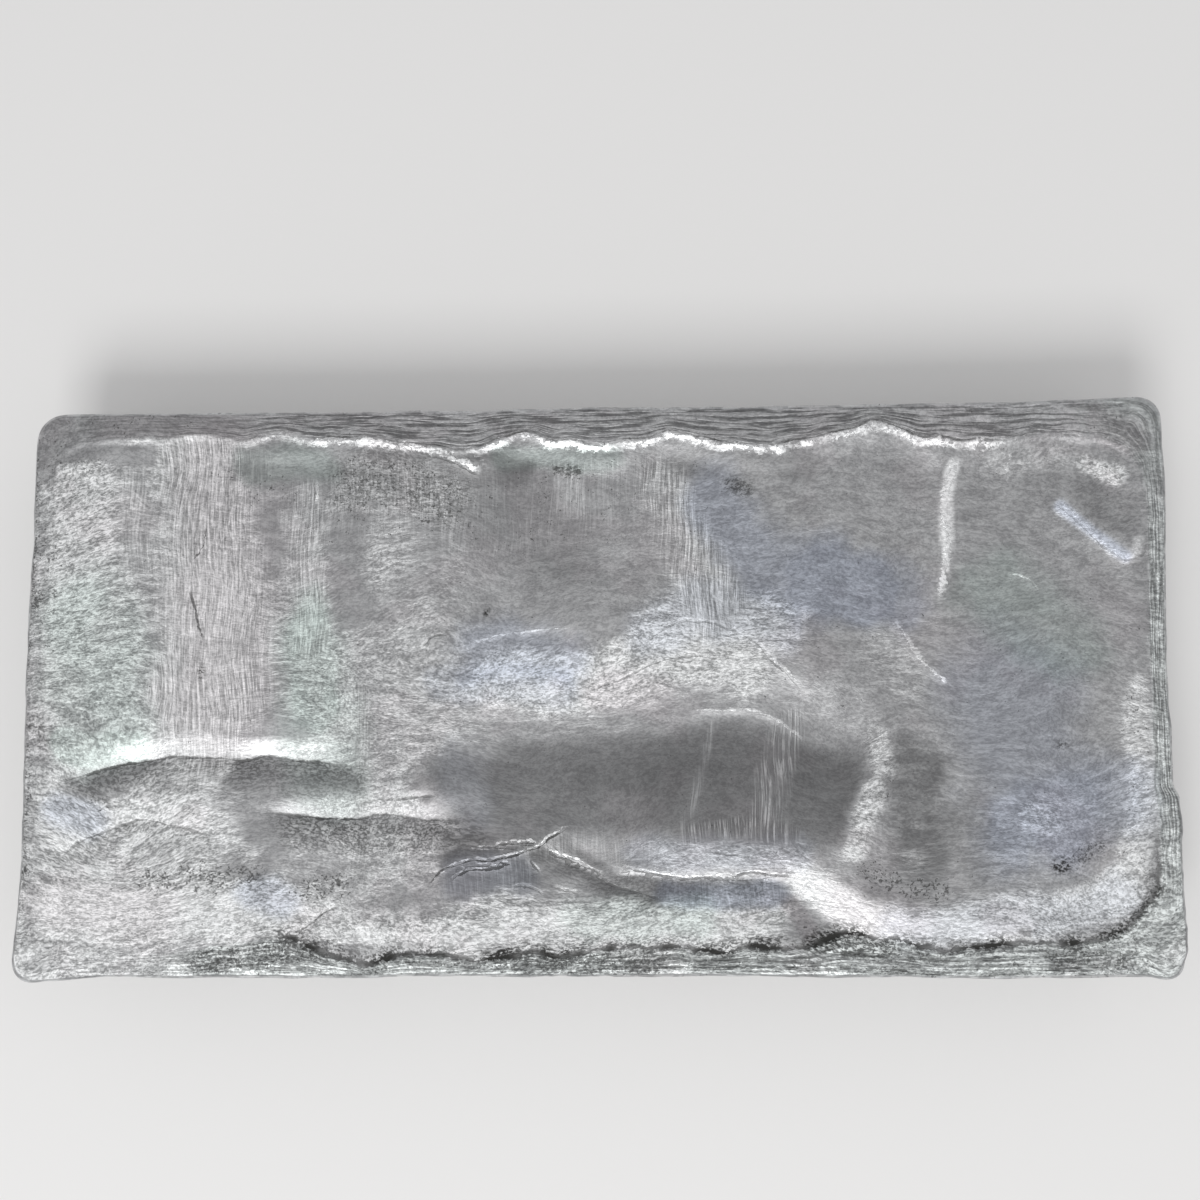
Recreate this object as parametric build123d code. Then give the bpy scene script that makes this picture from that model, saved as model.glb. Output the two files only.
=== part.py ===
from build123d import *

"""Open-cast slab ingot of soft white metal, one solid piece.

The metal was poured into an open mould with leaning walls and left to freeze. The walls, the base and their
rounded corners are the mould's. The top is the free face: it froze first in a band along the walls, which stands
up as a rim with a wavy inner edge, and then it shrank, so that the pool inside the rim sank and its skin drew
into folds. A little metal ran over the mould's lip near one corner and hangs there as a thin fin.

Millimetres. The origin is the middle of the base, +X along the ingot, +Y across it, +Z up.
"""

import math
import os
from dataclasses import dataclass

# The ingot over its walls
length = 430.0  # over the rim, along X
width = 215.0  # over the rim, along Y
rim_height = 44.0  # base to the crest of the rim
wall_lean = 12.0  # degrees that each mould wall leans outwards from upright
corner_radius = 12.0  # rounding of the four leaning corners
base_edge_radius = 6.0  # rounding all round the base
rim_edge_radius = 1.2  # rounding where the walls meet the free face

# The rim: a band that froze first, with its crest at the band's inner edge
end_band = 10.0  # width of the band along both ends
rim_fall = 1.8  # drop from the crest out to the walls, where the metal was level with the lip
far_step = 2.0  # drop from the crest in to the pool on the far side
near_step = 0.7  # the same drop on the near side, where the skin swelled up against the rim
step_run = 12.0  # how far in that drop takes
pool_corner_radius = 24.0  # corners of the pool in plan

# Width of the band along the two sides, as it wanders: (place along X, width)
far_band = [(-150.0, 11.0), (-98.0, 13.0), (-50.0, 19.5), (-26.0, 12.0), (4.0, 16.0), (33.0, 12.0),
            (66.0, 18.5), (108.0, 8.5), (142.0, 17.0), (188.0, 12.0)]
near_band = [(-190.0, 11.0), (-120.0, 13.0), (-84.0, 6.5), (-35.0, 8.5), (28.0, 13.0), (90.0, 9.5),
             (156.0, 12.5), (190.0, 15.0)]

# The pool
sink = 3.4  # further drop from the pool's edge to its middle


@dataclass
class Fold:
    """A fold of the frozen skin: a ridge, or a crease where its rise is negative."""

    path: list  # places in plan that its line runs through
    rise: float  # height of its line over the skin beside it
    half_width: float  # from its line to where it has all but died out


folds = {
    "left_crease": Fold([(-200.0, -34.0), (-172.0, -27.0), (-140.0, -25.0), (-96.0, -26.0)], -2.0, 11.0),
    "middle_crease": Fold([(-112.0, -46.0), (-80.0, -48.5), (-46.0, -48.5)], -1.8, 10.5),
    "left_arch": Fold([(-200.0, -60.0), (-174.0, -49.0), (-136.0, -57.0)], -1.1, 10.5),
    "valley": Fold([(-44.0, -22.0), (0.0, -17.0), (70.0, -16.0), (98.0, -26.0)], -2.2, 26.0),
    "fork_ridge": Fold([(-58.0, -70.0), (-34.0, -64.0), (-8.0, -52.0)], 1.2, 10.5),
    "near_crease": Fold([(-8.0, -66.0), (30.0, -70.0), (77.0, -76.0)], -1.7, 10.5),
    "diagonal_ridge": Fold([(72.0, -68.0), (94.0, -79.0), (116.0, -87.0), (150.0, -91.0)], 1.0, 12.0),
    "upright_ridge": Fold([(94.0, -62.0), (101.0, -42.0), (112.0, -18.0)], 1.5, 10.5),
    "far_ridge": Fold([(138.0, 88.0), (132.0, 58.0), (130.0, 30.0)], 1.2, 10.5),
    "corner_ridge": Fold([(174.0, 68.0), (188.0, 57.0), (202.0, 49.0)], 1.2, 10.5),
    "middle_swell": Fold([(-20.0, 30.0), (40.0, 26.0), (86.0, 10.0)], 1.5, 20.0),
    "left_swell": Fold([(-150.0, 74.0), (-146.0, 20.0)], 1.2, 24.0),
    "near_swell": Fold([(-190.0, -85.0), (-60.0, -86.0), (64.0, -84.0)], 0.7, 18.0),
}

# The fin of metal that ran over the mould's lip
fin_reach = 2.5  # out past the rim's outline
fin_thickness = 3.0  # down from the edge of the free face
fin_start = -37.0  # its end nearer the middle, along Y
fin_end = -99.0  # its end at the corner, along Y
fin_corner_radius = 2.0  # rounding of its outer corners in plan
fin_root = 8.0  # how far it reaches into the ingot, to be one with it

# The curves that the free face is drawn through, and the places along each
rim_zone = 33.0  # strip inside the drawn face's border where they lie closer
rim_spacing = 4.2  # between them in that strip
pool_spacing = 9.0  # between them over the pool
face_margin = 7.0  # how far the drawn face runs past the walls
mould_freeboard = 4.0  # mould wall left standing above the rim's crest

lean_run = math.tan(math.radians(wall_lean))


def ease(t):
    """0 up to 0, 1 from 1 on, and between them two parabolas that meet halfway."""
    t = min(max(t, 0.0), 1.0)
    return 2.0 * t * t if t < 0.5 else 1.0 - 2.0 * (1.0 - t) ** 2


def band_width(x, band):
    """Width of a band at x, eased between its listed places."""
    if x <= band[0][0]:
        return band[0][1]
    for (x0, w0), (x1, w1) in zip(band, band[1:]):
        if x <= x1:
            return w0 + (w1 - w0) * ease((x - x0) / (x1 - x0))
    return band[-1][1]


def mean_width(band):
    """Middle of a band's widest and narrowest places."""
    widths = [w for _, w in band]
    return (min(widths) + max(widths)) / 2.0


def outside_box(x, y, half_x, half_y, radius):
    """Distance from a rounded box in plan, negative inside it."""
    dx = abs(x) - half_x + radius
    dy = abs(y) - half_y + radius
    return math.hypot(max(dx, 0.0), max(dy, 0.0)) + min(max(dx, dy), 0.0) - radius


def outside_pool(x, y):
    """Distance in plan from the pool's wandering edge, negative in the pool."""
    side_band = (mean_width(far_band) + mean_width(near_band)) / 2.0
    far_shift = side_band - band_width(x, far_band)
    near_shift = band_width(x, near_band) - side_band
    shift = near_shift + (far_shift - near_shift) * ease(y / width + 0.5)
    return outside_box(x, y - shift, length / 2.0 - end_band, width / 2.0 - side_band, pool_corner_radius)


def fold_height(x, y, fold):
    """What a fold adds to the skin at a place."""
    nearest = fold.half_width
    for (ax, ay), (bx, by) in zip(fold.path, fold.path[1:]):
        along_x, along_y = bx - ax, by - ay
        t = ((x - ax) * along_x + (y - ay) * along_y) / (along_x**2 + along_y**2)
        t = min(max(t, 0.0), 1.0)
        nearest = min(nearest, math.hypot(x - ax - t * along_x, y - ay - t * along_y))
    return fold.rise * (1.0 - ease(nearest / fold.half_width))


def free_face_height(x, y):
    """Height of the free face over the base."""
    beyond_pool = outside_pool(x, y)
    inside_wall = max(-outside_box(x, y, length / 2.0, width / 2.0, corner_radius), 0.0)
    if beyond_pool > 0.0:
        return rim_height - rim_fall * (1.0 - ease(inside_wall / (inside_wall + beyond_pool)))
    bowl_x = max(1.0 - (2.0 * x / length) ** 2, 0.0)
    bowl_y = max(1.0 - (2.0 * y / width) ** 2, 0.0)
    skin = sum(fold_height(x, y, fold) for fold in folds.values()) - sink * bowl_x * bowl_y
    step = near_step + (far_step - near_step) * ease(y / width + 0.5)
    return rim_height + ease(-beyond_pool / step_run) * (skin - step)


def drawn_places(half):
    """Places across the drawn face, from one border to the other."""
    rim_steps = math.ceil(rim_zone / rim_spacing)
    middle = 2.0 * (half - rim_zone)
    middle_steps = math.ceil(middle / pool_spacing)
    border = [-half + rim_zone * k / rim_steps for k in range(rim_steps)]
    inside = [-middle / 2.0 + middle * k / middle_steps for k in range(middle_steps + 1)]
    return border + inside + [-place for place in reversed(border)]


def free_face():
    """The free face as one smooth surface, running a little past the walls."""
    past_rim = mould_freeboard * lean_run + face_margin
    places_x = drawn_places(length / 2.0 + past_rim)
    places_y = drawn_places(width / 2.0 + past_rim)
    steps = [(x - places_x[0]) / (places_x[-1] - places_x[0]) for x in places_x]
    curves = []
    for y in places_y:
        points = [(x, y, free_face_height(x, y)) for x in places_x]
        curves.append(Wire([Edge.make_spline(points, parameters=steps)]))
    return Shell.make_loft(curves).faces()[0]


def mould_channel(plane, span):
    """A channel with the mould's leaning sides, span wide at the rim, filled to the mould's lip."""
    lip = rim_height + mould_freeboard
    half_base = span / 2.0 - rim_height * lean_run
    half_lip = span / 2.0 + mould_freeboard * lean_run
    section = Polygon((-half_base, 0), (half_base, 0), (half_lip, lip), (-half_lip, lip), align=None)
    return extrude(plane * section, amount=length, both=True)


def mould_block():
    """What the mould would hold, filled to its lip, with its corners and the base's edge rounded."""
    block = mould_channel(Plane.XZ, length) & mould_channel(Plane.YZ, width)
    levels = block.edges().group_by(Axis.Z)
    leaning_edges = block.edges() - levels[0] - levels[-1]
    block = fillet(leaning_edges, corner_radius)
    return fillet(block.edges().group_by(Axis.Z)[0], base_edge_radius)


def fin():
    """The fin over the lip, still as tall as the mould."""
    underside = rim_height - rim_fall - fin_thickness
    across = fin_root + fin_reach
    plan = RectangleRounded(across, fin_start - fin_end, fin_corner_radius)
    place = Pos(length / 2.0 - fin_root + across / 2.0, (fin_start + fin_end) / 2.0, underside)
    return extrude(place * plan, amount=rim_height + mould_freeboard - underside)


def ingot():
    """The whole casting: block and fin, cut off at the free face, with that cut's edge softened."""
    above = extrude(free_face(), amount=rim_height, dir=(0, 0, 1))
    casting = mould_block() + fin() - above
    top = casting.faces().sort_by(Axis.Z)[-1]
    return fillet(top.outer_wire().edges(), rim_edge_radius)


os.makedirs("parts", exist_ok=True)
casting = ingot()
export_step(casting, "parts/ingot.step")
print(f"ingot: {len(casting.solids())} solid, valid {casting.is_valid}, {casting.volume / 1e6:.3f} litres")
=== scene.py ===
import math

import bmesh
import bpy
import numpy as np
from mathutils import Euler, Matrix, Vector
from mathutils.bvhtree import BVHTree


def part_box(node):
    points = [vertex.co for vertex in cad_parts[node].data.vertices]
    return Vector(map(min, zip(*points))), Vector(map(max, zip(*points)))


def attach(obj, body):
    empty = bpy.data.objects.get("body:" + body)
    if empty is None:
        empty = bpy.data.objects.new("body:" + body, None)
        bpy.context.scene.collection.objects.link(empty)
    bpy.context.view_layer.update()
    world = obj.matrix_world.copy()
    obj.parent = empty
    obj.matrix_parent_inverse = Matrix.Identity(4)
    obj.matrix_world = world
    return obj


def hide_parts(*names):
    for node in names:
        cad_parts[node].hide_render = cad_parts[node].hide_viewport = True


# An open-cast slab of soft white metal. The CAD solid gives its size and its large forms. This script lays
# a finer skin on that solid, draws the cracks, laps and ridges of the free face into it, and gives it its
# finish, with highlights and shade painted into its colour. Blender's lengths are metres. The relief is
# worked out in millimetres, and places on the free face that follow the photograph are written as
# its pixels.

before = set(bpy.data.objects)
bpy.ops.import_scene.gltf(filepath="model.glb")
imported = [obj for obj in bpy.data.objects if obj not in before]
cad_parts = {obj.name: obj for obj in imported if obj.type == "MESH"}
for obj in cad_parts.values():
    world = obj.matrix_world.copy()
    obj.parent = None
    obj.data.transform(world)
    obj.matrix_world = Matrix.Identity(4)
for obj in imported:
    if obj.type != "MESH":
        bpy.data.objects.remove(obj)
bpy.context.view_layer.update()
scene = bpy.context.scene
mm = 0.001
print("frame loaded")

# Camera, at the angle of the photograph

camera = {
    "place": (0.0243, -0.0308, 0.6048),
    "turn": (6.42, 2.13, -0.26),  # degrees about X, Y, Z
    "lens": 45.0,
    "sensor": 36.0,
    "photoSize": 1200.0,  # pixels along a side of the photograph
}


def turnOf(degrees):
    return Euler([math.radians(part) for part in degrees], "XYZ")


def addObject(name, data):
    made = bpy.data.objects.new(name, data)
    scene.collection.objects.link(made)
    return made


def addCamera():
    data = bpy.data.cameras.new("camera")
    data.lens = camera["lens"]
    data.sensor_width = camera["sensor"]
    made = addObject("camera", data)
    made.location = camera["place"]
    made.rotation_euler = turnOf(camera["turn"])
    scene.camera = made


def onTop(pixels, level=42.5):
    # where the sight line through each pixel of the photograph meets the ingot's top, in millimetres
    turn = np.array(turnOf(camera["turn"]).to_matrix())
    pixels = np.atleast_2d(np.array(pixels, float))
    reach = camera["sensor"] / camera["lens"] / camera["photoSize"]
    half = camera["photoSize"] / 2.0
    right, up = (pixels[:, 0] - half) * reach, (half - pixels[:, 1]) * reach
    rays = np.column_stack([right, up, -np.ones(len(pixels))]) @ turn.T
    eye = np.array(camera["place"]) / mm
    runs = (level - eye[2]) / rays[:, 2]
    return (eye + rays * runs[:, None])[:, :2]


addCamera()
pixelSize = float(onTop([(700, 700)])[0][0] - onTop([(600, 700)])[0][0]) / 100.0  # millimetres to a pixel
print("camera placed")

# Fields over the free face


def ease(t):
    t = np.clip(t, 0.0, 1.0)
    return t * t * (3.0 - 2.0 * t)


def bell(distance, width):
    return np.exp(-((distance / width) ** 2))


def cloud(x, y, size, seed, octaves=3):
    # smooth random hills and hollows, about -1 to 1
    total, share = 0.0, 1.0
    for octave in range(octaves):
        lattice = np.random.RandomState(seed * 17 + octave).uniform(-1.0, 1.0, (256, 256))
        cellX, cellY = x / size + 500.0, y / size + 500.0
        column, row = np.floor(cellX).astype(int), np.floor(cellY).astype(int)
        acrossCell, upCell = ease(cellX - column), ease(cellY - row)
        column, row = column % 255, row % 255
        low = lattice[row, column] * (1 - acrossCell) + lattice[row, column + 1] * acrossCell
        high = lattice[row + 1, column] * (1 - acrossCell) + lattice[row + 1, column + 1] * acrossCell
        total = total + share * (low * (1 - upCell) + high * upCell)
        size, share = size / 2.03, share / 2.0
    return total / 1.3


def smoothLine(points, steps=5, closed=False):
    # a soft curve through the points
    points = np.array(points, float)
    if closed:
        padded = np.vstack([points[-1], points, points[:2]])
    else:
        padded = np.vstack([2 * points[0] - points[1], points, 2 * points[-1] - points[-2]])
    run = []
    for before, start, end, after in zip(padded, padded[1:], padded[2:], padded[3:]):
        for t in np.arange(steps) / steps:
            run.append(0.5 * (2 * start + (end - before) * t
                              + (2 * before - 5 * start + 4 * end - after) * t**2
                              + (3 * start - before - 3 * end + after) * t**3))
    if closed:
        run.append(run[0])
    else:
        run.append(points[-1])
    return np.array(run)


def fromLine(x, y, line):
    # distance from a line, the side of it (1 is to the left of its run), and the share along it
    runs = np.diff(line, axis=0)
    lengths = np.hypot(runs[:, 0], runs[:, 1])
    starts = np.concatenate([[0.0], np.cumsum(lengths)])
    nearest = np.full(x.shape, 1e9)
    side, share = np.ones(x.shape), np.zeros(x.shape)
    for corner, run, length, start in zip(line, runs, lengths, starts):
        stepX, stepY = x - corner[0], y - corner[1]
        t = np.clip((stepX * run[0] + stepY * run[1]) / length**2, 0.0, 1.0)
        gap = np.hypot(stepX - t * run[0], stepY - t * run[1])
        nearer = gap < nearest
        nearest = np.where(nearer, gap, nearest)
        side = np.where(nearer, np.sign(run[0] * stepY - run[1] * stepX), side)
        share = np.where(nearer, (start + t * length) / starts[-1], share)
    return nearest, side, share


def isInside(x, y, line):
    inside = np.zeros(x.shape, bool)
    for (startX, startY), (endX, endY) in zip(line, line[1:]):
        crosses = (startY > y) != (endY > y)
        atX = startX + (y - startY) / (endY - startY + 1e-12) * (endX - startX)
        inside ^= crosses & (x < atX)
    return inside


def fadeEnds(share, length=0.16):
    return ease(share / length) * ease((1.0 - share) / length)


# The blank: a grid for the free face, and rings drawn down from its edge for the walls and the base

blank = {
    "stepsX": 352,
    "stepsY": 175,
    "cornerRadius": 12 * mm,
    "wallLean": 12.0,  # degrees
    "rimFall": 1.8 * mm,  # from the rim's crest down to the walls' top
    "rimEdge": 1.2 * mm,
    "rimEdgeRings": 3,
    "wallRings": 15,
    "baseEdge": 6 * mm,
    "baseEdgeRings": 5,
    "baseInset": 14 * mm,  # width of the one ring on the base, inside its rounded edge
    "softening": 10,  # passes that take the solid's facets out of the free face
}


def arc(middle, radius, start, end, count):
    # (how far in from the outline, height) of places round a middle, with the angles in radians
    angles = [start + (end - start) * k / count for k in range(count + 1)]
    return [(middle[0] - radius * math.cos(angle), middle[1] + radius * math.sin(angle)) for angle in angles]


def ringProfile(rimLevel):
    # (how far in from the outline, height) for each ring, from the free face's edge to the base
    lean, quarter = math.radians(blank["wallLean"]), math.radians(90.0)
    rimEdge, baseEdge, wallRings = blank["rimEdge"], blank["baseEdge"], blank["wallRings"]
    rimMid = (rimEdge / math.cos(lean) + rimEdge * math.tan(lean), rimLevel - rimEdge)
    baseMid = (baseEdge / math.cos(lean) + (rimLevel - baseEdge) * math.tan(lean), baseEdge)
    upper = arc(rimMid, rimEdge, quarter, -lean, blank["rimEdgeRings"])
    lower = arc(baseMid, baseEdge, -lean, -quarter, blank["baseEdgeRings"])
    (topIn, topLevel), (footIn, footLevel) = upper[-1], lower[0]
    wall = [(topIn + (footIn - topIn) * k / wallRings, topLevel + (footLevel - topLevel) * k / wallRings)
            for k in range(1, wallRings)]
    return upper + wall + lower + [(baseMid[0] + blank["baseInset"], 0.0)]


def drawBlank(ringCount):
    # each vertex carries its place on the grid and the number of its ring, which extruding copies
    work = bmesh.new()
    bmesh.ops.create_grid(work, x_segments=blank["stepsX"], y_segments=blank["stepsY"], size=1.0)
    across = work.verts.layers.float.new("across")
    up = work.verts.layers.float.new("up")
    ring = work.verts.layers.int.new("ring")
    for vert in work.verts:
        vert[across], vert[up] = vert.co.x, vert.co.y
    edges = [edge for edge in work.edges if edge.is_boundary]
    for number in range(1, ringCount):
        made = bmesh.ops.extrude_edge_only(work, edges=edges)["geom"]
        for vert in (part for part in made if isinstance(part, bmesh.types.BMVert)):
            vert[ring] = number
        edges = [part for part in made if isinstance(part, bmesh.types.BMEdge) and part.is_boundary]
    bmesh.ops.edgeloop_fill(work, edges=edges)
    return work


def readLayer(mesh, name, kind):
    values = np.zeros(len(mesh.vertices), kind)
    mesh.attributes[name].data.foreach_get("value", values)
    mesh.attributes.remove(mesh.attributes[name])
    return values


def layOnSolid(mesh, rings):
    # plan places from the grid, and heights from the solid
    across, up = readLayer(mesh, "across", np.float32), readLayer(mesh, "up", np.float32)
    ring = readLayer(mesh, "ring", np.int32)
    low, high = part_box("ingot")
    inward, level = np.array(rings)[ring].T
    radius = blank["cornerRadius"]
    halfX, halfY = -low[0] - rings[0][0], -low[1] - rings[0][0]
    planX, planY = across * halfX, up * halfY
    coreX = np.clip(planX, radius - halfX, halfX - radius)
    coreY = np.clip(planY, radius - halfY, halfY - radius)
    cornerX, cornerY = (planX - coreX) / radius, (planY - coreY) / radius
    roundX, roundY = cornerX * np.sqrt(1 - cornerY**2 / 2), cornerY * np.sqrt(1 - cornerX**2 / 2)
    further = inward - rings[0][0]
    coreX = coreX * (halfX - radius - further) / (halfX - radius)
    coreY = coreY * (halfY - radius - further) / (halfY - radius)
    x, y = coreX + radius * roundX, coreY + radius * roundY

    solid = bmesh.new()
    solid.from_mesh(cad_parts["ingot"].data)
    bmesh.ops.remove_doubles(solid, verts=solid.verts, dist=0.01 * mm)
    tree = BVHTree.FromBMesh(solid)
    solid.free()
    above, down = high[2] + 0.01, Vector((0, 0, -1))
    z = level.copy()
    for k in np.nonzero(ring == 0)[0]:
        hit = tree.ray_cast(Vector((x[k], y[k], above)), down)[0]
        z[k] = hit.z if hit else level[k]
    return {"x": x, "y": y, "z": z, "ring": ring, "outX": roundX, "outY": roundY,
            "halfX": halfX, "halfY": halfY, "rimLevel": rings[0][1]}


def putPlaces(mesh, skin):
    places = np.column_stack([skin["x"], skin["y"], skin["z"]])
    mesh.vertices.foreach_set("co", places.astype(np.float32).ravel())


def soften(mesh, skin):
    # the solid's facets are smoothed out of the free face, and its edge stays level
    putPlaces(mesh, skin)
    work = bmesh.new()
    work.from_mesh(mesh)
    work.verts.ensure_lookup_table()
    ring = skin["ring"]
    inner = [work.verts[int(k)] for k in np.nonzero(ring == 0)[0]]
    inner = [vert for vert in inner
             if all(ring[edge.other_vert(vert).index] == 0 for edge in vert.link_edges)]
    for _ in range(blank["softening"]):
        bmesh.ops.smooth_vert(work, verts=inner, factor=0.5, use_axis_z=True)
    skin["z"] = np.array([vert.co.z for vert in work.verts])
    work.free()


def findEdge(skin):
    # how far in from the free face's edge each vertex is, and which way is out
    radius = blank["cornerRadius"]
    overX, overY = np.abs(skin["x"]) - skin["halfX"] + radius, np.abs(skin["y"]) - skin["halfY"] + radius
    beyondX, beyondY = np.maximum(overX, 0.0), np.maximum(overY, 0.0)
    beyond = np.hypot(beyondX, beyondY)
    inset = np.maximum(radius - beyond - np.minimum(np.maximum(overX, overY), 0.0), 0.0) / mm
    endWins = (overX > overY).astype(float)
    outX = np.where(beyond > 0, beyondX / np.maximum(beyond, 1e-9), endWins) * np.sign(skin["x"])
    outY = np.where(beyond > 0, beyondY / np.maximum(beyond, 1e-9), 1 - endWins) * np.sign(skin["y"])
    face = skin["ring"] == 0
    skin["face"] = face
    skin["inset"] = np.where(face, inset, 0.0)
    skin["outX"], skin["outY"] = np.where(face, outX, skin["outX"]), np.where(face, outY, skin["outY"])


# Relief of the free face. Lines are pixels of the photograph, heights and widths millimetres

poolEdge = [  # where the pool meets the rim, round from the far left corner
    (78, 446), (120, 439), (167, 439), (197, 437), (223, 440), (250, 441), (277, 435), (303, 439),
    (343, 440), (377, 440), (403, 446), (433, 448), (468, 450), (500, 441), (527, 434), (550, 441),
    (573, 443), (597, 445), (627, 441), (650, 439), (668, 432), (687, 437), (713, 442), (740, 446),
    (773, 448), (793, 444), (810, 442), (833, 435), (857, 429), (879, 423), (900, 431), (917, 439),
    (940, 438), (963, 442), (1003, 442), (1037, 436), (1070, 436), (1110, 441), (1135, 462), (1143, 520),
    (1147, 600), (1150, 700), (1152, 800), (1156, 885), (1147, 903), (1137, 917), (1127, 927), (1110, 936),
    (1090, 942), (1043, 943), (1017, 943), (990, 947), (963, 948), (940, 951), (907, 942), (873, 938),
    (843, 935), (810, 946), (777, 950), (753, 948), (727, 953), (700, 952), (677, 947), (653, 948),
    (633, 947), (610, 950), (587, 953), (560, 957), (533, 952), (510, 957), (483, 961), (443, 957),
    (410, 955), (383, 960), (366, 965), (350, 960), (327, 953), (303, 943), (277, 937), (200, 948),
    (120, 952), (70, 945), (45, 920), (38, 860), (40, 780), (47, 690), (52, 600), (57, 520), (60, 464),
]

rim = {
    "torn": 0.8,  # how far the pool's edge strays from its drawn line
    "tornSize": 7.0,
    "lip": 0.25,  # height of the bead at the pool's edge
    "lipWidth": 1.2,
    "drop": 1.0,  # sharp drop inside the bead, on the far side
    "dropRun": 1.8,
    "dropFade": 7.0,
    "crack": 0.9,  # depth of the crack along the near side
    "crackWidth": 1.1,
    "crackHalf": 1.05,  # half width of its dark line
    "litHalf": 1.5,  # half width of the bright line on the far side
    "gapPlace": -47.0,  # where along X that line all but breaks off
    "gapHalf": 4.5,
    "laps": 5.0,  # lap lines between the outline and the pool's edge
    "lapDepth": 0.16,
    "lapLines": 14.0,  # the same for the thin lines that the material draws
    # the share of the lap lines that is missing in each zone
    "plain": {"leftEnd": 0.85, "farLeft": 0.6, "nearLeft": 0.6, "nearRight": 0.8, "farRight": 0.4},
}

# Where the rim changes. Each zone has the way to it in plan, where it starts along that, the run over which
# it comes in, and the zone that it keeps to

rimZones = {
    "far": ((0, 1), 40.0, 50.0, None),
    "near": ((0, -1), 40.0, 50.0, None),
    "leftEnd": ((-1, 0), 186.0, 14.0, None),
    "rightEnd": ((1, 0), 180.0, 16.0, None),
    "farCorners": ((0, 1), 76.0, 12.0, None),
    "farLeft": ((-1, 0), 110.0, 40.0, "far"),
    "farRight": ((1, 0), 172.0, 22.0, "far"),
    "nearLeft": ((-1, 0), 140.0, 30.0, "near"),
    "nearRight": ((1, 0), 176.0, 14.0, "near"),
    "cracked": ((1, 0), -130.0, 20.0, "near"),
    "lineStart": ((1, 0), -190.0, 14.0, "far"),
    "lineFull": ((1, 0), -132.0, 40.0, None),
    "lineEnd": ((-1, 0), -172.0, 30.0, None),
    "paler": ((1, 0), 110.0, 50.0, None),
    "warm": ((1, 0), -196.0, 12.0, "farLeft"),
}


def traceLine(relief, kind, away, half, strength):
    # hands a line to the material, which draws it sharper than the mesh could, as a distance in half widths
    score = np.abs(away) + 5.0 * (1.0 - np.minimum(strength, 1.0))
    nearer = score < relief[kind + "Score"]
    relief[kind + "Score"] = np.where(nearer, score, relief[kind + "Score"])
    relief[kind + "Line"] = np.where(nearer, np.clip(away / half, -20.0, 20.0), relief[kind + "Line"])
    relief[kind + "Mask"] = np.where(nearer, strength * bell(away, 1.8 + half), relief[kind + "Mask"])


def atLeast(relief, name, values):
    relief[name] = np.maximum(relief[name], values)


def bent(x, y, reach, size, seed, octaves=3):
    # places moved by the same wandering, with a seed of its own for each way
    return x + reach * cloud(x, y, size, seed, octaves), y + reach * cloud(x, y, size, seed + 1, octaves)


def zonesOf(x, y):
    zone = {}
    for name, ((alongX, alongY), start, run, side) in rimZones.items():
        zone[name] = ease((x * alongX + y * alongY - start) / run) * zone.get(side, 1.0)
    return zone


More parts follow.
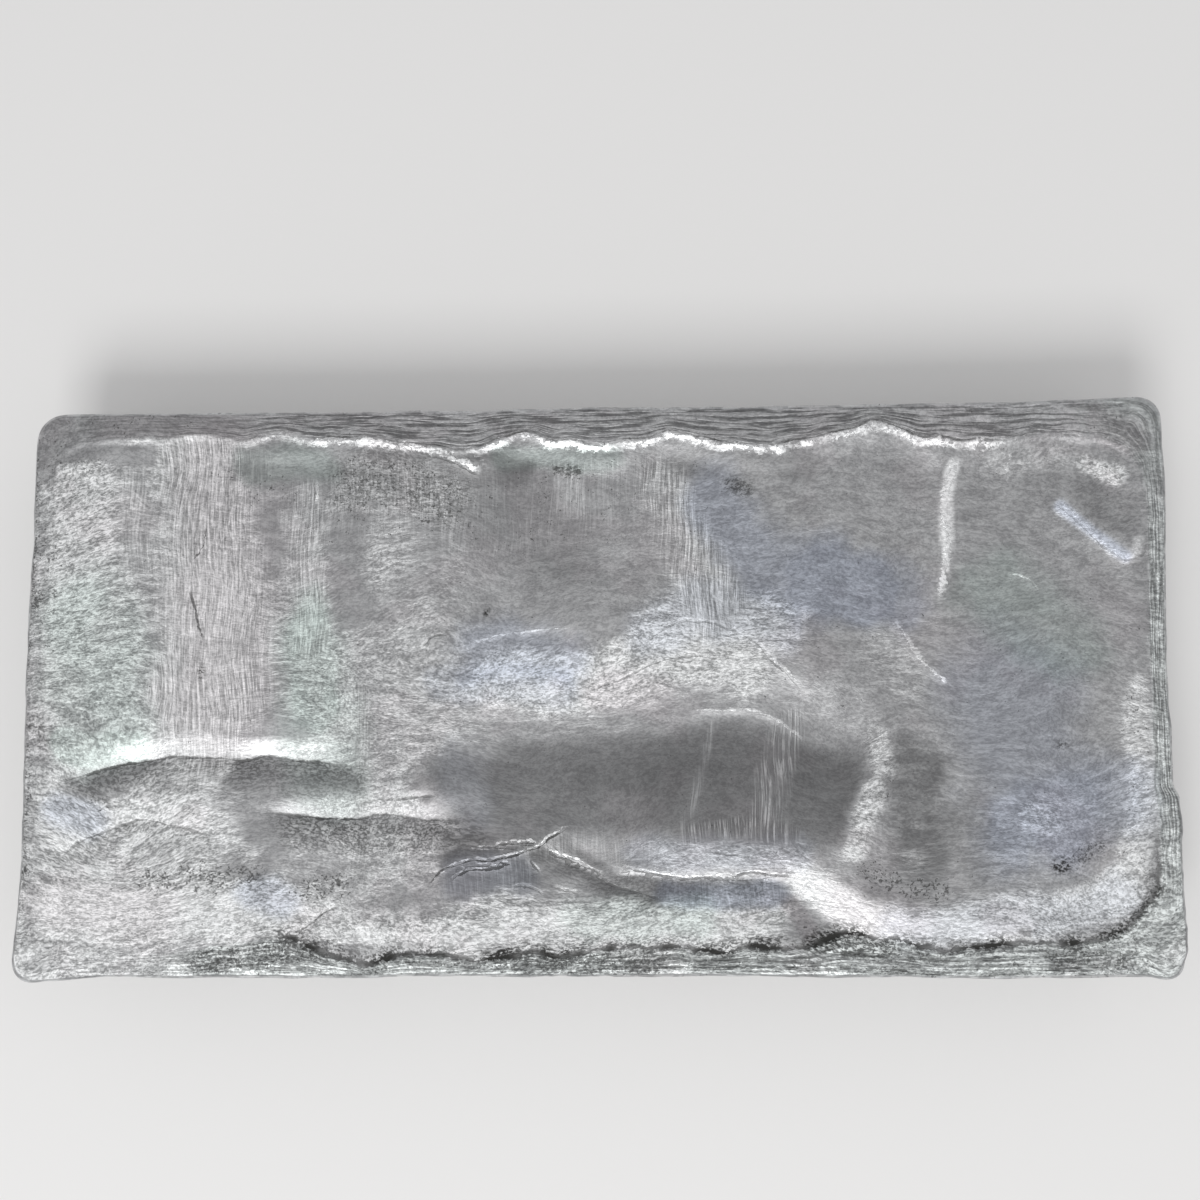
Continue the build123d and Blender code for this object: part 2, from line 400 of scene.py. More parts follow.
def shapeRim(skin, relief):
    x, y, broken = relief["x"], relief["y"], relief["broken"]
    pool = smoothLine(onTop(poolEdge), steps=3, closed=True)
    tornX, tornY = bent(x, y, rim["torn"], rim["tornSize"], 3, 2)
    gap = fromLine(tornX, tornY, pool)[0]
    beyond = np.where(isInside(tornX, tornY, pool), -gap, gap)
    zone = zonesOf(x, y)
    far, near, lapped = zone["far"], zone["near"], zone["near"] - zone["nearLeft"]
    plain = np.maximum.reduce([share * zone[name] for name, share in rim["plain"].items()])
    relief["height"] += rim["lip"] * broken * bell(beyond, rim["lipWidth"])
    dropped = ease(-beyond / rim["dropRun"]) * np.exp(np.minimum(beyond, 0.0) / rim["dropFade"])
    relief["height"] -= rim["drop"] * (0.2 + 0.8 * far) * (1.0 - near) * dropped
    # the near-side crack: pits, painted shade in and around it, and a thin painted highlight on its edge
    cracked = zone["cracked"] * (0.45 + 0.55 * broken)
    relief["height"] -= rim["crack"] * cracked * bell(beyond + 0.3, rim["crackWidth"])
    atLeast(relief, "sootAndShade", 0.85 * cracked * (0.35 + 0.65 * broken) * bell(beyond + 1.4, 3.0))
    relief["specks"] += 0.8 * cracked * bell(beyond + 1.0, 3.6) + 0.45 * lapped * ease(beyond)
    traceLine(relief, "dark", beyond + 0.3, rim["crackHalf"], 1.35 * cracked)
    traceLine(relief, "bright", beyond - 1.9, 0.5, 0.8 * cracked * (1.2 - broken))
    # the bright line along the far side, a painted highlight with a thin painted shade beside it
    lit = zone["lineStart"] * (0.3 + 0.7 * zone["lineFull"]) * zone["lineEnd"]
    lit = lit * (1.0 - 0.6 * bell(x - rim["gapPlace"], rim["gapHalf"]))
    atLeast(relief, "rubAndHighlight", 0.35 * lit * (0.3 + 0.7 * broken) * bell(beyond + 1.4, 2.4))
    traceLine(relief, "bright", beyond + 1.1, rim["litHalf"], lit * (0.35 + 0.85 * broken))
    traceLine(relief, "dark", beyond - 0.9, 0.35, 0.7 * lit * (1.1 - broken))
    # lap lines that follow both the outline and the pool's edge
    share = skin["inset"] / np.maximum(skin["inset"] + np.maximum(beyond, 0.0), 0.5)
    onRim = ease((beyond + 0.3) / 1.2)
    laps = np.sin(2.0 * math.pi * (share * rim["laps"] + 0.6 * cloud(x, y, 34.0, 6)))
    shallow = rim["lapDepth"] * (1.0 - plain) * np.clip(skin["inset"] / 2.0, 0.0, 1.0)
    relief["height"] += shallow * onRim * laps * broken
    relief["onRim"] = onRim
    relief["rim"] = np.where(skin["face"], onRim * (1.0 - plain), walls["lapLines"])
    relief["lap"] = np.where(skin["face"], share * rim["lapLines"], (skin["z"] - skin["rimLevel"]) / mm)
    # its finish. The near side and its outer edge are whiter, partly a painted highlight,
    # and the far side is darker, a painted shade
    outerHighlight = near * ease(1.0 - skin["inset"] / 3.6)
    leftFrost = zone["leftEnd"] * (1.0 - near) * (1.0 - 0.8 * zone["farCorners"])
    relief["rimFrost"] = (0.08 + 0.34 * near + 0.52 * leftFrost + 0.42 * zone["rightEnd"] * (1.0 - 0.6 * far)
                          + 0.45 * outerHighlight + 0.26 * zone["nearLeft"] - 0.05 * zone["nearRight"])
    relief["rimDull"] = 0.3 * far * (1.0 - zone["paler"])
    atLeast(relief, "sootAndShade", 0.1 * lapped * onRim * (1.0 - outerHighlight))
    relief["green"] += 0.35 * onRim * np.maximum(lapped, zone["rightEnd"])
    relief["warm"] += 0.6 * onRim * zone["warm"]
    relief["specks"] += 0.3 * onRim * zone["farLeft"]


# A crease has a painted highlight on its steep far side, a crack at its foot in painted shade, and its near
# side in painted shade. After its line come its drop, the run of its far side, the run of its near side, and
# how deep it is cracked

creases = {
    "leftCrease": ([(48, 792), (65, 781), (88, 773), (110, 767), (143, 761), (167, 758), (210, 758),
        (243, 761), (263, 758), (310, 761), (343, 766), (378, 764)], 1.3, 7.0, 9.0, 0.35),
    "middleCrease": ([(255, 813), (290, 816), (325, 818), (363, 819), (385, 816), (410, 820), (437, 821),
        (464, 819)], 0.9, 6.5, 8.0, 0.45),
    "upperHairline": ([(350, 804), (385, 801), (410, 797), (436, 793)], 0.35, 2.5, 2.5, 0.3),
    "arch": ([(50, 866), (70, 848), (95, 834), (127, 822), (143, 820), (180, 829), (226, 839)], 0.6, 4.0,
        6.0, 0.2),
    "cornerTear": ([(342, 904), (325, 914), (303, 930), (284, 937)], 0.4, 3.0, 3.0, 0.4),
    "nearFold": ([(598, 873), (640, 877), (690, 879), (740, 880), (790, 884)], 0.9, 4.0, 9.0, 0.15),
    "forkFold": ([(528, 838), (550, 852), (578, 868), (605, 882), (640, 893), (672, 899)], 0.7, 4.0, 6.0,
        0.15),
    "secondLap": ([(560, 972), (640, 966), (700, 969), (790, 966), (857, 967), (923, 973), (973, 977),
        (1023, 973), (1073, 967), (1107, 967), (1157, 962)], 0.5, 1.6, 1.8, 0.35),
    "thirdLap": ([(600, 958), (660, 957), (720, 961), (800, 957), (870, 954), (940, 961), (1010, 957),
        (1080, 955)], 0.3, 1.4, 1.4, 0.3),
    "cornerLap": ([(1098, 955), (1130, 953), (1155, 946), (1172, 935)], 0.4, 1.6, 1.6, 0.2),
}


def awayFrom(relief, line):
    # from a torn line: the distance, the side of it and the share along it
    return fromLine(relief["jagX"], relief["jagY"], smoothLine(onTop(line)))


def cutCreases(relief):
    for line, drop, farRun, nearRun, crack in creases.values():
        gap, side, share = awayFrom(relief, line)
        run, fade = np.where(side > 0, farRun, nearRun), fadeEnds(share)
        relief["height"] -= drop * fade * np.clip(1.0 - gap / run, 0.0, 1.0) ** 1.7
        relief["height"] -= crack * fade * bell(gap, 1.0)
        # painted shade in the crack, a painted highlight on the far side and painted shade on the near side
        split = (0.3 + 1.2 * crack) * (0.55 + 0.6 * relief["broken"])
        traceLine(relief, "dark", gap * side, 0.45, fade * split)
        atLeast(relief, "rubAndHighlight", 0.16 * fade * drop * (side > 0) * ease(gap / 0.8) * ease(1.4 - gap / run))
        atLeast(relief, "sootAndShade", 0.24 * fade * drop * (side < 0) * ease(1.2 - gap / run))


# A ridge has a painted highlight along its crest and a line of painted shade on its right. After its line
# come its rise, the half width of its bright line, how bright that is, and how dark the line on its right
# is

ridges = {
    "forkOne": ([(437, 878), (449, 866), (474, 858), (497, 859), (524, 851), (540, 845), (550, 835),
        (568, 823)], 0.6, 0.5, 1.0, 0.9),
    "forkTwo": ([(494, 845), (510, 842), (527, 841), (542, 841)], 0.45, 0.6, 1.0, 0.7),
    "forkLow": ([(449, 879), (466, 869), (490, 866), (516, 860)], 0.35, 0.45, 0.7, 0.8),
    "forkStalk": ([(470, 850), (484, 846), (500, 848)], 0.25, 0.35, 0.6, 0.4),
    "forkDrop": ([(522, 853), (533, 862), (541, 874)], 0.3, 0.4, 0.5, 0.5),
    "forkThree": ([(545, 850), (568, 856), (588, 866), (606, 874)], 0.5, 0.7, 0.8, 0.5),
    "smallBead": ([(556, 883), (566, 887), (579, 891)], 0.4, 0.7, 0.9, 0.4),
    "forkBead": ([(512, 884), (526, 884), (543, 893)], 0.3, 0.5, 0.35, 0.5),
    "foldLip": ([(617, 863), (640, 868), (662, 873), (700, 877), (740, 873), (800, 872)], 0.3, 0.45, 0.8,
        0.5),
    "foldLipTwo": ([(706, 850), (752, 856), (800, 862), (812, 870)], 0.25, 0.4, 0.6, 0.3),
    "uprightHigh": ([(954, 458), (952, 470), (947, 490), (945, 513), (947, 532), (945, 567), (941, 602)],
        0.6, 1.4, 1.4, 0.0),
    "farStray": ([(398, 443), (430, 450), (456, 458), (482, 472)], 0.35, 1.4, 1.1, 0.4),
    "drip": ([(316, 482), (317, 492), (316, 502)], 0.3, 0.5, 0.9, 0.4),
    "dripTwo": ([(436, 478), (440, 500), (446, 522)], 0.2, 0.5, 0.7, 0.5),
    "uprightHighTwo": ([(1012, 452), (1008, 470), (1010, 482)], 0.2, 0.6, 0.55, 0.0),
    "cornerSlant": ([(1052, 498), (1068, 509), (1085, 524), (1105, 541), (1124, 557), (1136, 552),
        (1137, 538)], 0.5, 0.9, 0.65, 0.3),
    "slopeEdge": ([(894, 617), (906, 630), (916, 648), (932, 668), (952, 684)], 0.4, 0.9, 0.8, 0.0),
    "basinRim": ([(690, 712), (745, 707), (776, 716), (792, 728), (806, 744)], 0.4, 0.6, 0.5, 0.0),
    "scratch": ([(468, 641), (500, 634), (540, 630), (572, 628)], 0.12, 0.35, 0.9, 0.0),
    "swellFoldOne": ([(588, 690), (620, 676), (652, 660), (690, 652), (726, 654)], 0.45, 0.7, 0.6, 0.45),
    "swellFoldTwo": ([(640, 640), (672, 622), (700, 618), (740, 630), (770, 652), (806, 690)], 0.4, 0.7, 0.6,
        0.4),
    "leftStub": ([(418, 645), (430, 632), (444, 630)], 0.3, 0.5, 0.6, 0.5),
    "crescent": ([(1008, 571), (1020, 573), (1032, 578), (1040, 588)], 0.15, 0.4, 0.7, 0.0),
    "tailOne": ([(948, 936), (985, 934), (1012, 938), (1058, 939)], 0.3, 0.8, 0.8, 0.4),
}


def raiseRidges(relief):
    for line, rise, half, rubAndHighlight, shade in ridges.values():
        gap, side, share = awayFrom(relief, line)
        fade = fadeEnds(share, 0.12)
        relief["height"] += rise * fade * bell(gap, 1.0 + half)
        # the crest gets a painted highlight and, where a shade is given, a thin painted shade beside it
        lit = rubAndHighlight * fade * (0.55 + 0.6 * relief["broken"])
        atLeast(relief, "rubAndHighlight", 0.22 * lit * bell(gap, 1.2 + half))
        traceLine(relief, "bright", gap * side, half, lit)
        if shade:
            traceLine(relief, "dark", gap * side + 1.2 * half + 0.4, 0.35, shade * fade)


# Finish of the free face. Each patch is a broad stroke along a line, with its half width in pixels, or the
# inside of an outline that ends where it starts, with the width of its soft edge. It adds to one or more
# masks: frost (white crystals), the dark smooth skin, which also carries painted shade in hollows and a
# painted dark reflection in the smooth basin, the rubbed bright metal, which also carries painted highlights
# on crests and lit slopes, scrape (drawn lines), specks (pits with dirt in them), the soot, which also
# carries painted shade in cracks, creases and gullies, and the blue, green and warm tints

patches = {
    "leftField": ([(120, 500), (120, 860)], 115, {"frost": 0.5}),
    "farLeftFrost": ([(72, 500), (60, 640)], 34, {"frost": 0.5}),
    "farLeftShade": ([(66, 452), (150, 455)], 13, {"frost": -0.6, "dullAndShade": 0.15}),
    "farLeftSpecks": ([(54, 465), (100, 467)], 6, {"specks": 0.6, "sootAndShade": 0.12}),
    "columnTop": ([(163, 462), (205, 468)], 9, {"frost": 0.3}),
    "columnUpper": ([(175, 503), (215, 506)], 14, {"frost": -0.3}),
    "farStrip": ([(345, 461), (430, 466), (520, 466)], 15, {"dullAndShade": 0.5, "frost": -0.15}),
    "farStripTwo": ([(640, 461), (805, 463)], 15, {"dullAndShade": 0.5, "frost": -0.1}),
    "middleGap": ([(368, 618), (425, 575), (428, 530)], 17, {"frost": -0.22}),
    "swellAbove": ([(530, 617), (620, 621)], 12, {"frost": -0.3}),
    "besideBasin": ([(428, 780), (446, 802)], 20, {"frost": -0.4, "dullAndShade": 0.3}),
    "forkAbove": ([(448, 850), (500, 846), (540, 850)], 15, {"frost": -0.3, "dullAndShade": 0.6}),
    # painted shade in the gully at the pool's near right corner
    "cornerGully": ([(1085, 943), (1118, 932), (1143, 908), (1155, 888)], 5, {"sootAndShade": 0.5}),
    "nearGlow": ([(284, 905), (330, 911)], 13, {"rubAndHighlight": 0.3}),
    "nearGap": ([(365, 898), (440, 896)], 18, {"frost": -0.35}),
    "rightNearEnd": ([(1075, 902), (1114, 890)], 16, {"frost": 0.45, "rubAndHighlight": 0.22}),
    "nearRimDirtThree": ([(815, 944), (885, 948)], 9, {"sootAndShade": 0.5, "frost": -0.4}),
    "farNearGap": ([(280, 862), (330, 866)], 18, {"frost": -0.2}),
    "leftGap": ([(95, 772), (150, 752), (300, 726)], 13, {"frost": -0.35}),
    "nearFieldGap": ([(340, 902), (530, 903), (590, 900)], 15, {"frost": -0.25}),
    "hollowGap": ([(640, 776), (586, 780)], 15, {"dullAndShade": 0.2, "frost": -0.2}),
    "underForkGap": ([(455, 868), (560, 868)], 14, {"dullAndShade": 0.35, "frost": -0.2}),
    "underCreaseGap": ([(225, 818), (275, 830)], 16, {"frost": -0.3}),
    "leftEdgeDirt": ([(34, 440), (28, 620), (24, 880)], 7, {"specks": 0.9, "sootAndShade": 0.12}),
    "leftEdgeSpecks": ([(48, 540), (50, 640)], 14, {"specks": 0.6}),
    "warmColumn": ([(230, 480), (225, 700)], 55, {"warm": 0.8}),
    "warmCorner": ([(50, 900), (150, 915)], 30, {"warm": 0.6}),
    "warmSwell": ([(610, 690), (660, 700)], 24, {"warm": 0.8}),
    "seamShade": ([(361, 690), (361, 880)], 8, {"sootAndShade": 0.14, "scrape": 0.5}),
    "farSkin": ([(350, 500), (470, 520), (600, 490)], 40, {"specks": 0.3, "scrape": 0.3}),
    "warmNear": ([(850, 900), (905, 915)], 26, {"warm": 0.7}),
    "warmFarRight": ([(1098, 420), (1125, 440)], 16, {"warm": 1.0, "frost": 0.2}),
    "wideColumn": ([(212, 474), (214, 700)], 50, {"frost": 0.5, "scrape": 0.9}),
    "columnFoot": ([(190, 680), (196, 735)], 42, {"frost": 0.4, "scrape": 0.5}),
    "columnGlow": ([(200, 590), (205, 720)], 34, {"rubAndHighlight": 0.18}),
    "darkColumn": ([(152, 515), (154, 640)], 14, {"frost": -0.22}),
    "columnGap": ([(268, 500), (274, 570)], 9, {"frost": -0.2}),
    "leftMiddle": ([(260, 600), (325, 700)], 42, {"frost": 0.16}),
    # a painted highlight along the upright ridge
    "uprightBar": ([(955, 464), (950, 480), (946, 500), (946, 540)], 6, {"rubAndHighlight": 1.0}),
    "uprightBarFoot": ([(946, 545), (945, 568)], 3.5, {"rubAndHighlight": 0.9}),
    "secondColumn": ([(300, 500), (314, 640)], 20, {"frost": 0.3, "scrape": 0.8}),
    "besideColumn": ([(345, 520), (352, 610)], 18, {"frost": -0.4}),
    "paleFoot": ([(150, 812), (205, 838)], 30, {"frost": 0.6, "rubAndHighlight": 0.16}),
    "paleEnd": ([(44, 800), (60, 850), (120, 862)], 20, {"frost": 0.35, "rubAndHighlight": 0.06}),
    "leftStrip": ([(130, 480), (140, 560)], 14, {"scrape": 0.6}),
    "middleField": ([(370, 580), (385, 740)], 84, {"frost": 0.36}),
    "oliveStrip": ([(250, 462), (320, 464)], 18, {"frost": -0.5, "dullAndShade": 0.25, "green": 0.8}),
    "topSpecks": ([(350, 480), (395, 472), (440, 500)], 28, {"sootAndShade": 0.3, "specks": 0.5, "frost": 0.28,
        "scrape": 0.3}),
    "topSpecksTwo": ([(225, 475), (300, 500)], 16, {"specks": 0.35}),
    "nearField": ([(60, 905), (200, 900), (330, 915), (520, 922), (640, 920), (760, 912)], 30,
        {"frost": 0.85}),
    "nearLeftField": ([(60, 912), (240, 914)], 21, {"frost": 0.5, "rubAndHighlight": 0.38}),
    "nearRimDirt": ([(510, 962), (650, 963)], 12, {"sootAndShade": 0.3, "specks": 0.5}),
    "nearRimDirtTwo": ([(200, 962), (330, 950)], 11, {"sootAndShade": 0.25, "specks": 0.6}),
    "nearCornerDirt": ([(1060, 962), (1130, 958)], 9, {"sootAndShade": 0.2, "specks": 0.6}),
    # a painted highlight on the near swell
    "nearBulge": ([(330, 935), (420, 942), (500, 935), (560, 920), (620, 925), (700, 925), (760, 930)], 10,
        {"rubAndHighlight": 0.34}),
    "nearSpecks": ([(150, 880), (250, 876)], 15, {"specks": 0.9, "frost": -0.3, "sootAndShade": 0.1}),
    "nearSpecksTwo": ([(300, 888), (345, 884)], 12, {"specks": 0.9, "frost": -0.25}),
    "leftSpecks": ([(90, 805), (105, 803)], 8, {"specks": 0.7}),
    "archShade": ([(80, 862), (150, 845), (225, 855)], 14, {"frost": -0.15}),
    # a painted highlight on the lit band above the left crease
    "creaseBand": ([(118, 749), (170, 744), (240, 747), (322, 745)], 9, {"rubAndHighlight": 0.5}),
    "creaseBandEnd": ([(285, 742), (345, 748)], 8, {"rubAndHighlight": -0.12}),
    "creaseShade": ([(70, 790), (120, 783), (160, 774)], 11, {"frost": -0.3, "sootAndShade": 0.14}),
    "creaseShadeTwo": ([(235, 775), (290, 785), (345, 790)], 15, {"frost": -0.3, "sootAndShade": 0.16}),
    "middleBand": ([(325, 804), (408, 806)], 8, {"rubAndHighlight": 0.2, "frost": 0.3}),
    "middleBandEnd": ([(430, 790), (455, 812)], 14, {"frost": -0.3}),
    "middleShade": ([(290, 836), (400, 840), (470, 838)], 15, {"frost": 0.3, "sootAndShade": 0.28}),
    "middleFlakes": ([(290, 870), (400, 872), (440, 868)], 20, {"frost": 0.3}),
    "swell": ([(506, 682), (550, 682), (630, 671), (700, 648), (740, 656)], 30, {"frost": 0.9,
        "rubAndHighlight": 0.1}),
    "swellLeft": ([(440, 684), (560, 690)], 18, {"frost": 0.14, "blue": 0.4}),
    "swellBlue": ([(480, 650), (560, 660)], 28, {"blue": 0.7}),
    "swellTop": ([(650, 628), (700, 600), (760, 614), (785, 624)], 25, {"frost": 0.55, "blue": 0.4}),
    "blueLeft": ([(62, 812), (85, 820)], 18, {"blue": 0.6, "frost": 0.15}),
    "blueNear": ([(255, 892), (285, 900)], 18, {"blue": 0.6, "frost": 0.25}),
    "blueSlope": ([(820, 570), (900, 600)], 32, {"blue": 0.7}),
    "greenCrease": ([(62, 745), (130, 748)], 14, {"green": 0.9, "rubAndHighlight": 0.1}),
    "greenColumn": ([(310, 600), (318, 700)], 22, {"green": 0.7}),
    "scrapedUpright": ([(660, 480), (690, 540), (712, 600)], 27, {"frost": 0.4, "scrape": 1.0}),
    "scrapedBlue": ([(715, 500), (760, 560), (850, 590)], 36, {"blue": 0.8, "frost": 0.05}),
    "topCentre": ([(480, 484), (550, 540)], 44, {"dullAndShade": 0.32, "frost": -0.05}),
    "topOlive": ([(500, 456), (610, 458)], 12, {"dullAndShade": 0.4, "green": 0.8}),
    "drips": ([(567, 482), (570, 500)], 15, {"scrape": 1.0, "rubAndHighlight": 0.3}),
    "dripHead": ([(555, 470), (578, 469)], 5, {"sootAndShade": 0.45, "specks": 0.8}),
    # the smooth basin's dark is painted shade and a painted dark reflection
    "basin": ([(492, 755), (530, 746), (600, 742), (650, 738), (700, 724), (745, 718), (788, 728),
        (815, 748), (862, 756), (858, 800), (846, 846), (800, 838), (720, 834), (640, 831), (575, 832),
        (520, 826), (498, 824), (488, 795), (492, 755)], 22, {"dullAndShade": 0.68, "frost": -0.8}),
    "basinRight": ([(690, 785), (820, 790)], 48, {"dullAndShade": 0.28}),
    "basinFoot": ([(520, 846), (640, 850)], 14, {"dullAndShade": 0.4, "frost": -0.15, "scrape": 0.3}),
    "basinLeft": ([(460, 768), (470, 808)], 24, {"dullAndShade": 0.3, "frost": -0.4, "blue": 0.3}),
    "basinVeil": ([(716, 722), (706, 760), (694, 800), (684, 822)], 4, {"dullAndShade": -0.25, "scrape": 0.5}),
    "basinStreaks": ([(788, 725), (780, 770), (765, 812)], 15, {"scrape": 1.0, "dullAndShade": -0.3}),
    "teeth": ([(690, 832), (740, 826), (790, 834)], 9, {"scrape": 1.0}),
    "belowBasin": ([(640, 848), (720, 852), (800, 850)], 16, {"frost": 0.25, "blue": 0.4}),
    "foldShade": ([(668, 890), (720, 897), (775, 895)], 13, {"frost": -0.4, "dullAndShade": 0.35, "blue": 0.9,
        "scrape": 0.4}),
    "forkShade": ([(552, 842), (585, 868), (615, 885), (650, 893)], 11, {"frost": -0.5, "dullAndShade": 0.65}),
    "forkField": ([(462, 876), (515, 878)], 20, {"frost": -0.5, "dullAndShade": 0.7, "blue": 0.55, "scrape": 0.3}),
    # a painted highlight along the diagonal fold
    "diagonal": ([(808, 880), (828, 893), (856, 912), (892, 930)], 17, {"rubAndHighlight": 1.0, "frost": 0.7}),
    "diagonalTop": ([(786, 838), (806, 862)], 14, {"frost": 0.1, "rubAndHighlight": 0.02}),
    "diagonalFoot": ([(790, 905), (812, 932)], 9, {"frost": -0.15, "dullAndShade": 0.2, "specks": 0.5, "warm": 0.9}),
    "rightNear": ([(900, 928), (990, 920), (1070, 915), (1116, 898)], 21, {"frost": 0.7, "rubAndHighlight": 0.1,
        "blue": 0.3}),
    "rightNearTail": ([(925, 924), (970, 929), (1010, 935)], 9, {"rubAndHighlight": 0.7}),
    "uprightBand": ([(873, 790), (862, 820), (854, 848)], 12, {"frost": 0.7, "dullAndShade": -0.5}),
    "uprightTop": ([(876, 735), (884, 765)], 13, {"frost": 0.35}),
    # painted shade in the hollow on the right
    "rightHollow": ([(912, 770), (922, 845)], 28, {"dullAndShade": 0.92}),
    "rightHollowTwo": ([(970, 820), (990, 860)], 26, {"dullAndShade": 0.3}),
    # a painted highlight in a soft streak
    "slantGlow": ([(1060, 505), (1085, 525), (1112, 546), (1126, 556)], 6.5, {"rubAndHighlight": 0.45, "frost": 0.3,
        "blue": 0.9}),
    "slantHook": ([(1132, 556), (1137, 540)], 4, {"rubAndHighlight": 0.6}),
    "rightHollowFoot": ([(870, 872), (900, 885), (940, 890)], 12, {"dullAndShade": 0.25, "specks": 0.9}),
    "rightField": ([(1010, 690), (1030, 790)], 60, {"blue": 0.6}),
    "rightFieldLow": ([(1020, 840), (1110, 800)], 42, {"frost": 0.15, "blue": 0.7}),
    "rightEdgeFrost": ([(1140, 690), (1143, 800), (1132, 880)], 14, {"frost": 0.45, "rubAndHighlight": 0.15,
        "specks": 0.25}),
    "slope": ([(880, 645), (908, 682)], 24, {"frost": 0.18}),
    "farRightDark": ([(1092, 492), (1122, 515)], 16, {"dullAndShade": 0.4}),
    "farRightFlecks": ([(1085, 462), (1115, 475)], 9, {"frost": 0.7}),
    "cornerPatch": ([(1000, 462), (1060, 455)], 14, {"frost": 0.2}),
    "greenLeft": ([(90, 620), (100, 720)], 50, {"green": 0.7}),
    "greenMiddle": ([(310, 640), (330, 780)], 40, {"green": 0.6}),
    "greenNear": ([(580, 915), (700, 915)], 22, {"green": 0.6}),
    "greenRight": ([(990, 590), (1060, 640)], 40, {"green": 0.8}),
    # the two holes are darkened with painted shade
    "holeOne": ([(484, 614), (487, 611)], 2.2, {"sootAndShade": 1.0}),
    "holeTwo": ([(201, 668), (201, 676)], 3.5, {"sootAndShade": 0.7}),
    "blotTop": ([(734, 484), (748, 486)], 8, {"sootAndShade": 0.55, "dullAndShade": 0.3}),
    "blotRight": ([(1059, 866), (1063, 862)], 7, {"sootAndShade": 1.0}),
    "blotRightTwo": ([(1078, 855), (1098, 848)], 11, {"sootAndShade": 0.15, "specks": 1.0}),
    "blotRightThree": ([(1062, 743), (1068, 745)], 5, {"specks": 1.0, "sootAndShade": 0.2}),
    "leftRimDirt": ([(30, 550), (28, 590), (40, 600)], 7, {"sootAndShade": 0.4, "specks": 0.6}),
    "leftRimDirtTwo": ([(38, 722), (44, 742)], 8, {"sootAndShade": 0.35}),
    "spotOne": ([(231, 581), (232, 586)], 6, {"dullAndShade": 0.3}),
    "lightSpotOne": ([(917, 822), (919, 825)], 6, {"frost": 0.16}),
    "lightSpotTwo": ([(911, 856), (916, 858)], 9, {"frost": 0.14}),
    "lightSpotThree": ([(1036, 816), (1044, 822)], 12, {"frost": 0.35}),
}

# their dark is painted shade inside the scratches and cracks
hairlines = {  # thin dark lines scratched or cracked into the skin
    "curlOne": [(206, 524), (203, 540), (197, 552), (191, 558)],
    "curlTwo": [(190, 588), (194, 608), (200, 630), (204, 642)],
    "forkStem": [(428, 884), (440, 872), (455, 864)],
}

maskNames = ("frost", "dullAndShade", "rubAndHighlight", "scrape", "specks", "sootAndShade", "blue", "green", "warm")
# bright lines are painted highlights on crests and edges, dark lines painted shade in cracks and beside
# ridges
lineKinds = ("bright", "dark")


def paintPatches(relief):
    x, y = relief["x"], relief["y"]
    raggedX, raggedY = cloud(x, y, 16.0, 21), cloud(x, y, 16.0, 22)
    for line, half, adds in patches.values():
        half, outlined = half * pixelSize, line[0] == line[-1]
        ragged = 2.0 if outlined else min(half * 0.45, 5.0)
        atX, atY = x + ragged * raggedX, y + ragged * raggedY
        if outlined:
            outline = smoothLine(onTop(line[:-1]), steps=3, closed=True)
            gap = fromLine(atX, atY, outline)[0]
            cover = ease(0.5 + np.where(isInside(atX, atY, outline), gap, -gap) / half)
        else:
            cover = ease(1.5 - fromLine(atX, atY, onTop(line))[0] / half)
        for name, amount in adds.items():
            relief[name] = relief[name] + amount * cover
    for line in hairlines.values():
        gap, side, share = awayFrom(relief, line)
        traceLine(relief, "dark", gap * side, 0.42, 0.85 * fadeEnds(share))


def settleMasks(relief):
    onRim = relief["onRim"]
    relief["frost"] = (relief["frost"] + 0.12) * (1.0 - onRim) + onRim * relief["rimFrost"]
    relief["dullAndShade"] = relief["dullAndShade"] * (1.0 - onRim) + onRim * relief["rimDull"]
    relief["scrape"] *= 1.0 - 0.9 * onRim
    for name in maskNames:
        relief[name] = np.clip(relief[name], 0.0, 1.0)


# The skin's own wrinkles

wrinkles = {
    "wide": 0.30,  # long low waves over the pool
    "wideSize": 28.0,
    "folds": 0.30,  # short creased folds, mostly along the ingot, where it is frosty
    "foldSize": 4.2,
    "foldStretch": 2.6,
    "grain": 0.10,
    "grainSize": 2.6,
}


def wrinkleSkin(skin, relief):
    x, y = relief["flowX"], relief["flowY"]
    inPool = ease(skin["inset"] / 8.0)
    relief["height"] += wrinkles["wide"] * cloud(x, y, wrinkles["wideSize"], 7) * inPool
    folded = cloud(x / wrinkles["foldStretch"], y, wrinkles["foldSize"], 8, 2)
    creased = 0.6 - np.abs(folded) * 1.6
    rough = np.clip(0.25 + 0.9 * relief["frost"] - 0.8 * relief["dullAndShade"], 0.05, 1.0)
    rough = rough * (1.0 - 0.6 * relief["rim"])
    relief["height"] += wrinkles["folds"] * creased * rough * (0.5 + 0.5 * relief["broken"])
    relief["height"] += wrinkles["grain"] * cloud(x, y, wrinkles["grainSize"], 9, 2) * rough


